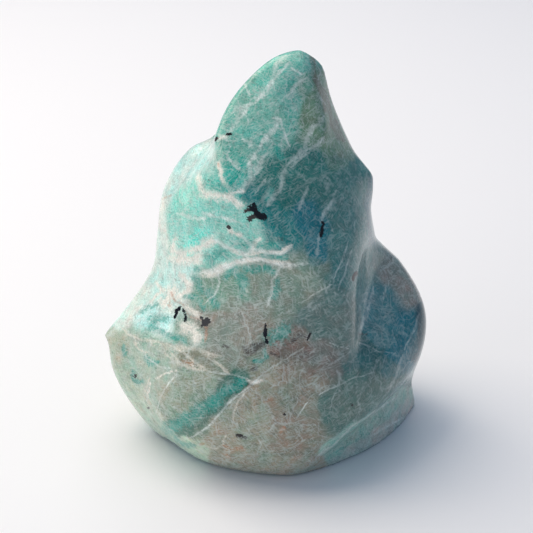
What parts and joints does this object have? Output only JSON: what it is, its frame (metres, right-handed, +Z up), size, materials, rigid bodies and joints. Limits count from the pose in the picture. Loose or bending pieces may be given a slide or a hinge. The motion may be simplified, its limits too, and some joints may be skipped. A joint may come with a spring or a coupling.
{
  "type": "polished amazonite flame carving",
  "caption": "Twisted flame freeform ground from one piece of amazonite, with curved faces meeting in ridges, a wide low collar and a flat base.",
  "frame": {"origin": "on the flat base, under the middle of the stone's box", "axes": "+Z up from the base to the tip, -Y towards the front that the picture shows, +X to its right"},
  "size_m": [0.0778, 0.0634, 0.097],
  "materials": {
    "amazonite": "polished"
  },
  "bodies": {
    "root": {"amazonite_flame": "amazonite"}
  },
  "joints": []
}
